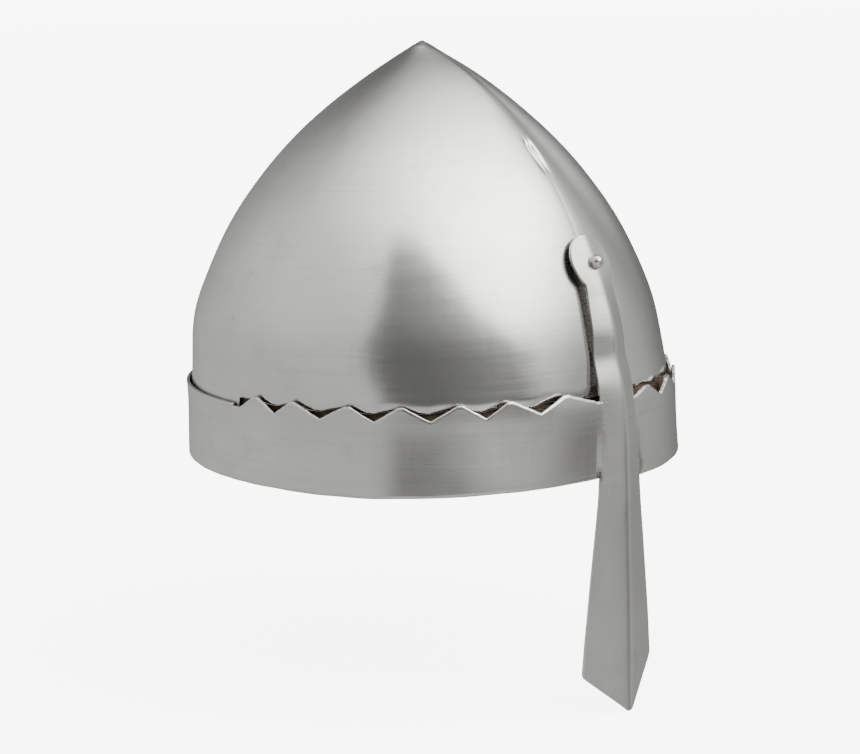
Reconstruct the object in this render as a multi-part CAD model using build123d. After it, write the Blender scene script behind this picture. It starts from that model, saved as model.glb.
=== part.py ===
# Norman style nasal helmet: welded two-half steel skull, zigzag brow band, long nasal, leather liner.
# Frame: +Z up, the nasal faces -Y, the wearer's left is +X.  Z = 0 is the lower rim of the brow band.
from build123d import *
import os
from math import sin, cos, radians, sqrt

os.makedirs("parts", exist_ok=True)

# ---- driving sizes, mm ------------------------------------------------------------------------
HALF_WIDTH = 100.0        # half width of the band's waist, which the plan of every section follows
HEIGHT = 173.2            # lower rim to apex
SHEET = 1.5               # skull sheet
BAND_SHEET = 1.4          # brow band sheet
BAND_HEIGHT = 30.0        # lower rim to the bottom of the zigzag valleys
TOOTH = 5.6               # height of a tooth above the valley
TOOTH_TIP = 0.55          # half width of a tooth's blunt tip, degrees
REAR_BAND_STEP = 1.0      # the plain rear band stands this much above the valleys
RIM_LAP = 2.4             # the skull's front edge stops this far below the tips of the teeth
REAR_LAP = 4.0            # the skull's rear edge stops this far below the valleys
SEAM_ANGLE = 98.7         # band seam, degrees from the front
SEAM_GAP = 1.2            # weld gap left along the crest between the skull halves
WELD_CLEAR = 0.1          # weld bead to plate
NASAL_SHEET = 1.6         # nasal plate
BLADE_LENGTH = 98.0       # nasal below the lower rim
BLADE_HALF = 21.9         # half width of the blade at its widest
BLADE_POINT = 18.5        # height of the blade's pointed end
STRAP_LENGTH = 55.5       # valleys to the centre of the nasal's round head
STRAP_HALF = 8.0          # half width of the strap below the head
HEAD_R = 11.0             # round head of the nasal
FOLD = 0.34               # nasal crease: each flank falls back this much per mm of width
HEAD_FOLD = 0.18          # flatter crease at the riveted head
RIVET_R = 1.6
RIVET_HEAD_R = 2.9
RIVET_CLEAR = 0.1         # rivet shank to its holes
LEATHER = 1.8             # liner head band
PETAL_LEATHER = 1.4
LINER_GAP = 0.4           # between the liner's layers and the steel
LINER_RISE = 1.28         # how much faster than the liner the skull rises towards the crown
LINER_LOW = 5.0           # lower edge of the head band
LINER_LAP = 6.0           # the head band rises this far above the valleys
PETALS = 8
PETAL_FOOT = 14.0         # the petals start this far above the head band's lower edge
PETAL_RISE = 0.705        # share of the skull's height, above the band, that the petals reach
LACE_R = 1.1
LACE_CLEAR = 0.8          # lace to the petals
LACE_DROP = 4.2           # lace below the tips of the petals

S = HALF_WIDTH / 100.0
FRONT_RIM = BAND_HEIGHT + TOOTH - RIM_LAP
REAR_RIM = BAND_HEIGHT - REAR_LAP
NASAL_TIP = -BLADE_LENGTH
HEAD_Z = BAND_HEIGHT + STRAP_LENGTH
LINER_HIGH = BAND_HEIGHT + LINER_LAP
LINER_TOP = BAND_HEIGHT + (HEIGHT - BAND_HEIGHT) * PETAL_RISE

# hand-cut teeth: tip angles from the front, wearer's right arm and left arm
TEETH_RIGHT = (15.1, 28.7, 39.7, 52.3, 64.3, 78.4, 89.8)
TEETH_LEFT = (12.0, 24.6, 37.0, 49.5, 61.8, 74.4, 87.0)

# skull stations: height fraction above the band, front, back, half width, front keel, rear keel
# a keel of 0 is an ellipse, 1 a sharp median ridge, below 0 a bluff front
SKULL = (
    (0.00, 101.0, 108.4, 98.0, -0.22, 0.00),
    (0.20, 96.6, 105.7, 101.2, 0.05, 0.21),
    (0.40, 87.3, 94.5, 93.6, 0.24, 0.37),
    (0.60, 71.8, 76.8, 75.6, 0.46, 0.46),
    (0.75, 53.3, 57.8, 53.2, 0.55, 0.55),
    (0.87, 34.3, 35.8, 30.3, 0.74, 0.74),
    (0.95, 15.6, 15.8, 12.3, 0.88, 0.88),
    (1.00, 0.6, 0.6, 0.5, 1.00, 1.00),
)
# brow band stations: height fraction of the band, then the gap left between the skull's line and
# the band's inner face at the front, the back and the sides
BAND = (
    (-0.2, 2.9, -1.9, 3.2),
    (0.0, 2.8, -1.4, 2.8),
    (0.85, 2.6, 0.6, 0.7),
    (1.05, 2.2, 0.9, 1.0),
    (1.35, 1.0, 0.9, 2.2),
)
BAND_KEEL = -0.20
# nasal crease below the band's upper edge: share of the blade's length, forward of the band's lower rim
BLADE_CREASE = ((-1.03, 4.9), (-0.73, 5.0), (-0.34, 4.5), (0.0, 3.9))
# and up the band: share of the band's height, forward of the band
COLLAR_CREASE = ((0.67, 3.4), (1.03, 2.6))
# and up the strap: share of the strap's length, gap behind the plate at the skull's ridge
STRAP_CREASE = (
    (0.11, 4.9), (0.22, 4.0), (0.36, 3.75), (0.58, 4.15), (0.76, 3.85), (0.92, 3.55),
    (1.05, 2.95), (1.18, 2.9), (1.24, 3.05),
)
# half widths of the nasal: share of the blade's length below the rim, share of the widest half
BLADE_SIDE = ((-0.03, 0.56), (0.09, 0.61), (0.42, 0.80), (0.67, 0.94))


def smooth(rows, column, at):
    """Monotone cubic through the rows, so a swept surface has no bumps between stations."""
    xs = [row[0] for row in rows]
    ys = [row[column] for row in rows]
    at = min(max(at, xs[0]), xs[-1])
    steps = [xs[i + 1] - xs[i] for i in range(len(xs) - 1)]
    slopes = [(ys[i + 1] - ys[i]) / steps[i] for i in range(len(steps))]
    tangents = [slopes[0]]
    for i in range(1, len(steps)):
        if slopes[i - 1] * slopes[i] <= 0:
            tangents.append(0.0)
        else:
            w0 = 2 * steps[i] + steps[i - 1]
            w1 = steps[i] + 2 * steps[i - 1]
            tangents.append((w0 + w1) / (w0 / slopes[i - 1] + w1 / slopes[i]))
    tangents.append(slopes[-1])
    i = max(k for k in range(len(steps)) if at >= xs[k] - 1e-9)
    h = steps[i]
    q = (at - xs[i]) / h
    return (
        ys[i] * (1 + 2 * q) * (1 - q) ** 2
        + h * tangents[i] * q * (1 - q) ** 2
        + ys[i + 1] * q * q * (3 - 2 * q)
        + h * tangents[i + 1] * q * q * (q - 1)
    )


def skull_size(z):
    """Outer front, back, half width and keels of the skull at a height."""
    at = (z - BAND_HEIGHT) / (HEIGHT - BAND_HEIGHT)
    front, back, half, keel_front, keel_back = (smooth(SKULL, c, at) for c in range(1, 6))
    return front * S, back * S, half * S, keel_front, keel_back


def band_size(z):
    """Outer front, back and half width of the brow band at a height."""
    skull = skull_size(BAND_HEIGHT)
    gaps = [smooth(BAND, c, z / BAND_HEIGHT) for c in range(1, 4)]
    front, back, half = (skull[i] + gaps[i] + BAND_SHEET for i in range(3))
    return front, back, half, BAND_KEEL, 0.0


def liner_size(z):
    """The skull's size met by the liner, which rises more slowly than the skull."""
    extra = max(0.0, z - BAND_HEIGHT - 4.0)
    front, back, half, _, _ = skull_size(z + extra * (LINER_RISE - 1.0) * min(1.0, extra / 20.0))
    round_off = 1.0 - min(1.0, extra / (LINER_TOP - BAND_HEIGHT - 4.0)) ** 1.2
    keel_front, keel_back = skull_size(z)[3:]
    return front, back, half, keel_front * round_off, keel_back * round_off


def inset(size, z, depth):
    """Section sizes moved in by a depth measured square to the wall."""
    here = size(z)
    above = size(z + 0.5)
    below = size(z - 0.5)
    dims = [here[i] - depth * sqrt(1 + (above[i] - below[i]) ** 2) for i in range(3)]
    return dims[0], dims[1], dims[2], here[3], here[4]


def ring_point(dims, turn, z, shift=0.0):
    """Point of a section; turn runs from 0 at the front to 90 at the wearer's right side."""
    front, back, half, keel_front, keel_back = dims
    c = cos(radians(turn))
    s = abs(sin(radians(turn)))
    side = -1.0 if sin(radians(turn)) > 0 else 1.0
    if shift:
        side = -1.0 if turn > 0 or (turn == 0 and shift > 0) else 1.0
    keel = keel_front if c > 0 else keel_back
    length = front if c > 0 else back
    reach = abs(shift)
    x = side * (reach + (half - reach) * ((1 - keel) * s + keel * s * s))
    return Vector(x, -length * c, z)


def ring_face(size, z, outer, inner, start, end, shift=0.0):
    """Flat strip between two depths of the wall, from one turn to another."""
    count = max(4, int(abs(end - start) / 9.0) + 2)
    turns = [start + (end - start) * i / (count - 1) for i in range(count)]
    out_dims = inset(size, z, outer)
    in_dims = inset(size, z, inner)
    outside = [ring_point(out_dims, t, z, shift) for t in turns]
    inside = [ring_point(in_dims, t, z, shift) for t in reversed(turns)]
    edges = [
        Edge.make_spline(outside),
        Edge.make_line(outside[-1], inside[0]),
        Edge.make_spline(inside),
        Edge.make_line(inside[-1], outside[0]),
    ]
    return Face(Wire(edges))


def ring_piece(size, outer, inner, start, end, levels, shift=0.0):
    """Wall piece lofted through the heights given."""
    faces = [ring_face(size, z, outer, inner, start, end, shift) for z in levels]
    return Solid.make_loft([f.outer_wire() for f in faces], ruled=len(levels) == 2)


def fan(stops, low=55.0, high=150.0):
    """Radial block between plan angles; each stop is (angle, bottom, top)."""
    wires = []
    for angle, bottom, top in stops:
        u = Vector(-sin(radians(angle)), -cos(radians(angle)), 0)
        corners = [
            u * (low * S) + Vector(0, 0, bottom),
            u * (high * S) + Vector(0, 0, bottom),
            u * (high * S) + Vector(0, 0, top),
            u * (low * S) + Vector(0, 0, top),
        ]
        wires.append(Wire.make_polygon(corners, close=True))
    return Solid.make_loft(wires, ruled=True)


# ---- skull ------------------------------------------------------------------------------------
CROWN = HEIGHT - 2.3      # where the halves stop under the apex bead


def skull_levels():
    span = CROWN - REAR_RIM
    return [REAR_RIM + span * q for q in (0, 0.06, 0.14, 0.24, 0.36, 0.48, 0.6, 0.71, 0.81, 0.89, 0.95, 1)]


def rim_step():
    """Block that trims the front rim of the skull higher than the rear."""
    half = SEAM_ANGLE - 1.0
    stops = [(-half + 2 * half * i / 16, REAR_RIM - 6, FRONT_RIM) for i in range(17)]
    return fan(stops)


def rivet_axis():
    """Foot of the rivet on the outside of the nasal head, and its outward direction."""
    y0 = -crease(HEAD_Z)
    rise = crease(HEAD_Z - 2) - crease(HEAD_Z + 2)
    length = sqrt(16 + rise * rise)
    return Vector(0, y0, HEAD_Z), Vector(0, -4 / length, rise / length)


def along_rivet(start, end, radius):
    """Cylinder on the rivet's axis; start and end are measured outward from the nasal's face."""
    foot, out = rivet_axis()
    plane = Plane(origin=foot + out * start, z_dir=out)
    return extrude(plane * Circle(radius), amount=end - start).solid()


def skull_half(side):
    """One raised half of the skull; side is 1 for the wearer's right, -1 for the left."""
    shell = ring_piece(skull_size, 0, SHEET, 0.001 * side, 179.999 * side, skull_levels(), SEAM_GAP / 2)
    shell = shell - rim_step()
    return shell - along_rivet(-30, 5, RIVET_R + RIVET_CLEAR)


def crest_weld(end):
    """Ground weld bead in the crest gap; end is -1 for the front run and 1 for the rear run."""
    column = 0 if end < 0 else 1
    low = FRONT_RIM + 0.2 if end < 0 else REAR_RIM
    levels = [low + (CROWN - low) * q for q in (0, 0.12, 0.26, 0.4, 0.54, 0.68, 0.8, 0.9, 0.96, 1)]
    outside = [Vector(0, end * inset(skull_size, z, 0.05)[column], z) for z in levels]
    inside = [Vector(0, end * inset(skull_size, z, SHEET + 0.1)[column], z) for z in reversed(levels)]
    edges = [
        Edge.make_spline(outside),
        Edge.make_line(outside[-1], inside[0]),
        Edge.make_spline(inside),
        Edge.make_line(inside[-1], outside[0]),
    ]
    half = SEAM_GAP / 2 - WELD_CLEAR
    bead = Solid.extrude(Face(Wire(edges)).moved(Location((-half, 0, 0))), Vector(2 * half, 0, 0))
    if end < 0:
        bead = bead - along_rivet(-30, 5, RIVET_R + RIVET_CLEAR)
    return bead


def apex_bead():
    """Ground weld button that closes the point of the crown."""
    front, back, half, _, _ = skull_size(CROWN)
    base = CROWN + 0.05
    radius = (front + half) / 2 - 0.3
    top = HEIGHT - base
    slope = [(0.78, 0.26), (0.45, 0.61), (0.14, 0.92)]
    outline = Polyline((0, base), (radius, base), *[(radius * r, base + top * h) for r, h in slope],
                       (0, HEIGHT), close=True)
    profile = Plane.XZ * make_face(outline)
    return revolve(profile, axis=Axis.Z).solid()


# ---- brow band --------------------------------------------------------------------------------
def front_lift(angle, side):
    """The arms were fitted by eye: the right runs a little high at the nasal, the left a little low."""
    fade = max(0.0, 1.0 - max(0.0, angle - 30.0) / 30.0)
    return (1.2 if side > 0 else -1.8) * fade


def zigzag(side):
    """Stops along one arm: angle, lower edge and upper edge, tooth by tooth."""
    tips = TEETH_RIGHT if side > 0 else TEETH_LEFT
    pitch = (tips[-1] - tips[0]) / (len(tips) - 1)
    edges = [tips[0] - pitch * 0.75]
    edges += [(tips[i] + tips[i + 1]) / 2 for i in range(len(tips) - 1)]
    edges += [tips[-1] + pitch * 0.5]
    stops = []

    def add(angle, top):
        lift = front_lift(angle, side)
        stops.append((angle * side, lift, top + lift))

    for i, tip in enumerate(tips):
        add(edges[i], BAND_HEIGHT)
        add(tip - TOOTH_TIP, BAND_HEIGHT + TOOTH)
        add(tip + TOOTH_TIP, BAND_HEIGHT + TOOTH)
    add(edges[-1], BAND_HEIGHT)
    add(SEAM_ANGLE - 0.35, BAND_HEIGHT)
    return stops


def band_levels():
    """Heights of the arm's sections, from below the rim to above the teeth."""
    shares = [BAND_HEIGHT * q for q in (0.27, 0.6, 0.87, 1.07)]
    return [-4.0] + shares + [BAND_HEIGHT + TOOTH + 4]


def brow_band(side):
    """Toothed arm of the brow band, butted against the nasal at the front."""
    strip = ring_piece(band_size, 0, BAND_SHEET, 2.0 * side, (SEAM_ANGLE + 6) * side, band_levels())
    arm = strip & fan(zigzag(side))
    return arm - nasal_prism(1.0)


def rear_band():
    """Plain rear length of the band, from one seam round to the other."""
    start = SEAM_ANGLE - 8
    high = BAND_HEIGHT + REAR_BAND_STEP
    levels = [0.0, BAND_HEIGHT * 0.47, BAND_HEIGHT * 0.87, high]
    strip = ring_piece(band_size, 0, BAND_SHEET, start, 360 - start, levels)
    first = SEAM_ANGLE + 0.35
    sweep_angle = 360 - 2 * first
    return strip & fan([(first + sweep_angle * i / 14, -3, high + 3) for i in range(15)])


def seam_welds():
    """Ground beads in the two upright band seams."""
    beads = []
    for side in (1, -1):
        start = (SEAM_ANGLE - 3) * side
        strip = ring_piece(band_size, 0.05, BAND_SHEET, start, start + 6 * side,
                           [0.2, BAND_HEIGHT * 0.47, BAND_HEIGHT - 0.4])
        at = SEAM_ANGLE * side
        beads.append(strip & fan([(at - 0.29, -3, BAND_HEIGHT + 3), (at + 0.29, -3, BAND_HEIGHT + 3)]))
    return beads


def band_tacks():
    """Short weld beads under the skull's edge that hold it inside the band."""
    beads = []
    for side in (1, -1):
        for tip in TEETH_RIGHT[1::2] if side > 0 else TEETH_LEFT[1::2]:
            beads.append((tip * side, FRONT_RIM - 1.5, FRONT_RIM - 0.1))
        for at in (112, 134, 158):
            beads.append((at * side, REAR_RIM - 1.5, REAR_RIM - 0.1))
    near = BAND_SHEET + 0.05
    return [ring_piece(band_size, near, near + 1.2, at - 1.8, at + 1.8, [low, high]) for at, low, high in beads]


# ---- nasal ------------------------------------------------------------------------------------
def crease_rows():
    """Heights and forward reach of the nasal's crease, hung on the band and on the skull's ridge."""
    rim = band_size(0)[0]
    rows = [(share * BLADE_LENGTH, rim + ahead) for share, ahead in BLADE_CREASE]
    for share, ahead in COLLAR_CREASE:
        z = BAND_HEIGHT * share
        rows.append((z, band_size(z)[0] + ahead))
    for share, gap in STRAP_CREASE:
        z = BAND_HEIGHT + STRAP_LENGTH * share
        rows.append((z, skull_size(z)[0] + gap + NASAL_SHEET))
    return rows


CREASE = crease_rows()


def crease(z):
    return smooth(CREASE, 1, z)


def fold(z):
    """Crease sharpness: full on the blade and strap, flatter at the head."""
    at = min(max((z - HEAD_Z + 19.5) / 14.0, 0.0), 1.0)
    return FOLD + (HEAD_FOLD - FOLD) * at * at * (3 - 2 * at)


def nasal_section(z):
    """Chevron across the nasal, wider than the plate."""
    half = BLADE_HALF + 8.0
    y = -crease(z)
    slope = (crease(z + 1) - crease(z - 1)) / 2
    f = fold(z)
    depth = NASAL_SHEET * sqrt(1 + slope * slope) * sqrt(1 + f * f)
    corners = [
        Vector(-half, y + half * f, z), Vector(0, y, z), Vector(half, y + half * f, z),
        Vector(half, y + half * f + depth, z), Vector(0, y + depth, z), Vector(-half, y + half * f + depth, z),
    ]
    return Wire.make_polygon(corners, close=True)


def nasal_prism(grow=0.0):
    """Front outline of the nasal: round head, narrow strap, flared blade with a pointed end."""
    shoulder = NASAL_TIP + BLADE_POINT
    half = [(STRAP_HALF - 0.4, HEAD_Z - 5), (STRAP_HALF, HEAD_Z - 11.5), (STRAP_HALF + 0.7, HEAD_Z - 17.5),
            (STRAP_HALF + 2.8, BAND_HEIGHT + 1)]
    half += [(BLADE_HALF * wide, -BLADE_LENGTH * share) for share, wide in BLADE_SIDE]
    half += [(BLADE_HALF, shoulder)]
    tip = [(1.1, NASAL_TIP + 0.7), (-1.1, NASAL_TIP + 0.7)]
    points = half + tip + [(-x, z) for x, z in reversed(half)]
    plate = make_face(Polyline(*points, close=True))
    corners = [v for v in plate.vertices() if abs(v.Y - shoulder) < 0.01]
    plate = fillet(corners, 4.0)
    plate = plate + Pos(0, HEAD_Z) * Circle(HEAD_R)
    if grow:
        plate = offset(plate, amount=grow)
    prism = extrude(Plane.XZ * plate, amount=125 * S, dir=(0, -1, 0))
    return prism.solid()


def nasal():
    """Creased nose guard with its strap up the front of the skull."""
    low = NASAL_TIP - 2
    high = HEAD_Z + HEAD_R + 2.5
    levels = [low + (high - low) * i / 22 for i in range(23)]
    plate = Solid.make_loft([nasal_section(z) for z in levels], ruled=False)
    plate = plate & nasal_prism()
    return plate - along_rivet(-12, 5, RIVET_R + RIVET_CLEAR)


def nasal_welds():
    """Ground butt welds between the nasal's edges and the two arms of the band."""
    beads = []
    ring = nasal_prism(0.9) - nasal_prism(0.1)
    for side in (1, -1):
        low = front_lift(0, side) + 0.4
        strip = ring_piece(band_size, 0.05, BAND_SHEET, 2.0 * side, 12.0 * side,
                           [low, BAND_HEIGHT * 0.47, BAND_HEIGHT + front_lift(0, side) - 0.6])
        piece = strip & ring
        beads += list(piece.solids())
    return beads


def nasal_rivet():
    """Round-headed rivet through the nasal head and the skull, peened over a washer inside."""
    foot, out = rivet_axis()
    inner = rivet_grip()
    ball = Plane(origin=foot + out * 0.75, z_dir=out) * Sphere(RIVET_HEAD_R)
    ball = ball.solid() & along_rivet(0.35, 6, RIVET_HEAD_R + 1)
    shank = along_rivet(-inner - 1.2, 0.6, RIVET_R)
    peen = along_rivet(-inner - 2.2, -inner - 1.1, RIVET_R * 1.45)
    return (ball + shank + peen).solid()


def rivet_grip():
    """Depth from the nasal's face to the inside of the skull along the rivet."""
    foot, out = rivet_axis()
    depth = 0.0
    while depth < 20:
        spot = foot - out * depth
        if inset(skull_size, spot.Z, SHEET + 0.55)[0] <= abs(spot.Y):
            depth += 0.1
        else:
            break
    return depth


def rivet_washer():
    """Burr washer under the peened end."""
    inner = rivet_grip()
    washer = along_rivet(-inner - 1.05, -inner - 0.05, RIVET_R + 2.2)
    return washer - along_rivet(-inner - 2, 1, RIVET_R + RIVET_CLEAR)


# ---- leather liner ----------------------------------------------------------------------------
BAND_INSET = SHEET + LINER_GAP
PETAL_INSET = BAND_INSET + LEATHER + LINER_GAP + 0.3


def liner_band():
    """Leather head band, butted at the back."""
    return ring_piece(skull_size, BAND_INSET, BAND_INSET + LEATHER, 180.6, 539.4,
                      [LINER_LOW + (LINER_HIGH - LINER_LOW) * q for q in (0, 0.23, 0.45, 0.65, 0.81, 1)])


def petal(index):
    """One tongue of the liner, from the head band to the draw lace at the crown."""
    middle = (index + 0.5) * 360.0 / PETALS
    low = LINER_LOW + PETAL_FOOT
    fractions = (0.0, 0.05, 0.1, 0.16, 0.28, 0.4, 0.52, 0.64, 0.76, 0.82, 0.88, 0.92, 0.96, 1.0)
    wires = []
    for q in fractions:
        z = low + (LINER_TOP - low) * q
        if q < 0.28:
            half = 180.0 / PETALS - 1.2
        else:
            half = (180.0 / PETALS - 1.2) * (1 - 0.18 * ((q - 0.28) / 0.72) ** 2)
        face = ring_face(liner_size, z, PETAL_INSET, PETAL_INSET + PETAL_LEATHER, middle - half, middle + half)
        wires.append(face.outer_wire())
    return Solid.make_loft(wires, ruled=False)


def lace_size():
    """Section followed by the lace, clear of the petals at its own height."""
    return inset(liner_size, LINER_TOP - LACE_DROP, PETAL_INSET + PETAL_LEATHER + LACE_R + LACE_CLEAR)


def lace():
    """Draw lace round the inside of the petal tips."""
    points = [ring_point(lace_size(), turn, LINER_TOP - LACE_DROP) for turn in range(0, 360, 15)]
    wire = Wire([Edge.make_spline(points, periodic=True)])
    plane = Plane(origin=wire @ 0, z_dir=wire % 0)
    return sweep(plane * Circle(LACE_R), path=wire).solid()


def lace_knot():
    """Reef knot that closes the draw lace, seen as its two crossed bights."""
    centre = Vector(lace_size()[2] - 2.3 - LACE_R, 0, LINER_TOP - LACE_DROP)
    bights = []
    for turn in (-1, 1):
        plane = Plane(origin=centre + Vector(0, turn * 1.3, 0), z_dir=(0.5, turn, 0.35))
        bights.append((plane * Torus(1.5, 0.75)).solid())
    return (bights[0] + bights[1]).solid()


def stitches():
    """Sewing thread laid over the foot of each petal."""
    solids = []
    depth = PETAL_INSET + PETAL_LEATHER + LINER_GAP
    for index in range(PETALS):
        middle = (index + 0.5) * 360.0 / PETALS
        for step in range(5):
            at = middle + (step - 2) * 7.0
            for low in (LINER_HIGH - 13.0, LINER_HIGH - 7.0):
                solids.append(ring_piece(skull_size, depth, depth + 0.8, at - 1.1, at + 1.1, [low, low + 0.9]))
    return solids


def save(name, shape):
    if isinstance(shape, list):
        shape = Compound(children=shape) if len(shape) > 1 else shape[0]
    export_step(shape, f"parts/{name}.step")


save("skull_right", skull_half(1))
save("skull_left", skull_half(-1))
save("crest_weld_front", crest_weld(-1))
save("crest_weld_rear", crest_weld(1))
save("apex_bead", apex_bead())
save("brow_band_right", brow_band(1))
save("brow_band_left", brow_band(-1))
save("rear_band", rear_band())
save("seam_welds", seam_welds())
save("band_tacks", band_tacks())
save("nasal", nasal())
save("nasal_welds", nasal_welds())
save("nasal_rivet", nasal_rivet())
save("rivet_washer", rivet_washer())
save("liner_band", liner_band())
for number in range(PETALS):
    save(f"liner_petal_{number + 1}", petal(number))
save("lace", lace())
save("lace_knot", lace_knot())
save("stitches", stitches())
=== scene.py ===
# Looks of the nasal helmet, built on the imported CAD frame.  Metres, +Z up, the nasal faces -Y.
import bmesh
import bpy
import math
import numpy as np
from mathutils import Matrix, Vector, noise
from mathutils.bvhtree import BVHTree


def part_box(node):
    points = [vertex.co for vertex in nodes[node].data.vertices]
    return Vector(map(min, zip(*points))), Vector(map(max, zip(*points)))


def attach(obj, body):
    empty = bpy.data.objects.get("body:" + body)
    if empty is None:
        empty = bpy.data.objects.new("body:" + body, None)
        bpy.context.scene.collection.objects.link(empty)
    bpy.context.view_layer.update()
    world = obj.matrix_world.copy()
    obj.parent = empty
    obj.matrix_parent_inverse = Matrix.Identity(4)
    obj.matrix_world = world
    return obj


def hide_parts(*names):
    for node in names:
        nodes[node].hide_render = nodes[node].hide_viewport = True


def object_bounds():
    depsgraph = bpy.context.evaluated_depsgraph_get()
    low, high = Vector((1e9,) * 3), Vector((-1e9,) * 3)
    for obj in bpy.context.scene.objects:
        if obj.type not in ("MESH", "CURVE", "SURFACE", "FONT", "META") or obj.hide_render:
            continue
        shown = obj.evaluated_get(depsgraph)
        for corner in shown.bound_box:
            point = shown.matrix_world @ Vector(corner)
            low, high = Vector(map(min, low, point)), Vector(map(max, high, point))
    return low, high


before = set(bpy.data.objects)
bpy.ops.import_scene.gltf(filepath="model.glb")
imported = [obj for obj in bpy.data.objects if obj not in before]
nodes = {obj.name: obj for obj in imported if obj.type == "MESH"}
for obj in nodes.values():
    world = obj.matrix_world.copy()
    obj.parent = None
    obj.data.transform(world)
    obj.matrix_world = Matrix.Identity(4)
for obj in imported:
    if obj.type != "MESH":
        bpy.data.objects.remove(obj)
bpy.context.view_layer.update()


# ---- sampling the CAD ---------------------------------------------------------------------------
def tree(*names):
    points, faces = [], []
    for name in names:
        mesh = nodes[name].data
        base = len(points)
        points += [v.co.copy() for v in mesh.vertices]
        faces += [[base + i for i in p.vertices] for p in mesh.polygons]
    return BVHTree.FromPolygons(points, faces)


def radius_at(bvh, angle, z):
    """Outer radius of the wall at a plan angle (0 front, +90 wearer's right) and height."""
    u = Vector((-math.sin(angle), -math.cos(angle), 0))
    hit = bvh.ray_cast(Vector((0, 0, z)) + u * 0.3, -u, 0.3)
    return None if hit[0] is None else math.hypot(hit[0].x, hit[0].y)


def direction(angle):
    return np.stack([-np.sin(angle), -np.cos(angle), 0 * angle], -1)


def blur(a, sigma, axis):
    n = int(3 * sigma) + 1
    k = np.exp(-0.5 * (np.arange(-n, n + 1) / sigma) ** 2)
    k /= k.sum()
    pad = [(0, 0)] * a.ndim
    pad[axis] = (n, n)
    b = np.pad(a, pad, mode="reflect", reflect_type="odd")
    return np.apply_along_axis(lambda v: np.convolve(v, k, "valid"), axis, b)


def wobble(p, scale, seed):
    """Smooth noise in -1..1 at each point, features about scale metres across."""
    flat = p.reshape(-1, 3)
    off = Vector((seed * 7.31, seed * 3.17, seed * 5.73))
    out = np.array([noise.noise(Vector(q) / scale + off) for q in flat])
    return out.reshape(p.shape[:-1])


# ---- mesh helpers -------------------------------------------------------------------------------
def grid_faces(rows, cols, close_rows=False, base=0):
    f = []
    last = rows if close_rows else rows - 1
    for i in range(last):
        a, b = i * cols, ((i + 1) % rows) * cols
        for j in range(cols - 1):
            f.append((base + a + j, base + b + j, base + b + j + 1, base + a + j + 1))
    return f


def make(name, verts, faces, node_names, slot, material, crisp=()):
    """Smooth-shaded mesh piece; crisp holds the vertex pairs whose edges stay sharp."""
    mesh = bpy.data.meshes.new(name)
    mesh.from_pydata([tuple(v) for v in verts], [], faces)
    mesh.validate()
    shape = bmesh.new()
    shape.from_mesh(mesh)
    bmesh.ops.recalc_face_normals(shape, faces=shape.faces)
    shape.to_mesh(mesh)
    shape.free()
    mesh.polygons.foreach_set("use_smooth", [True] * len(mesh.polygons))
    if crisp:
        for e in mesh.edges:
            if frozenset(e.vertices) in crisp:
                e.use_edge_sharp = True
    mesh.update()
    ob = bpy.data.objects.new(name, mesh)
    bpy.context.scene.collection.objects.link(ob)
    ob.data.materials.append(material)
    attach(ob, "root")
    if node_names:
        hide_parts(*node_names)
    return ob


def tube(points, radius, segs=8, closed=False):
    """Vertices and faces of a round tube along a list of points."""
    pts = [Vector(p) for p in points]
    count = len(pts)
    verts, faces = [], []
    side = None
    for i, p in enumerate(pts):
        ahead = pts[(i + 1) % count] if closed or i < count - 1 else p
        behind = pts[i - 1] if closed or i > 0 else p
        t = (ahead - behind).normalized()
        side = t.orthogonal() if side is None else side - t * side.dot(t)
        side.normalize()
        other = t.cross(side)
        r = radius if isinstance(radius, float) else radius[i]
        for k in range(segs):
            a = 2 * math.pi * k / segs
            verts.append(p + (side * math.cos(a) + other * math.sin(a)) * r)
    for i in range(count if closed else count - 1):
        q = (i + 1) % count
        for k in range(segs):
            n = (k + 1) % segs
            faces.append((i * segs + k, i * segs + n, q * segs + n, q * segs + k))
    if not closed:
        faces.append(tuple(reversed(range(segs))))
        faces.append(tuple((count - 1) * segs + k for k in range(segs)))
    return verts, faces


def joined(parts):
    """One vertex and face list out of several."""
    verts, faces = [], []
    for v, f in parts:
        base = len(verts)
        verts += list(v)
        faces += [tuple(base + i for i in face) for face in f]
    return verts, faces


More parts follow.
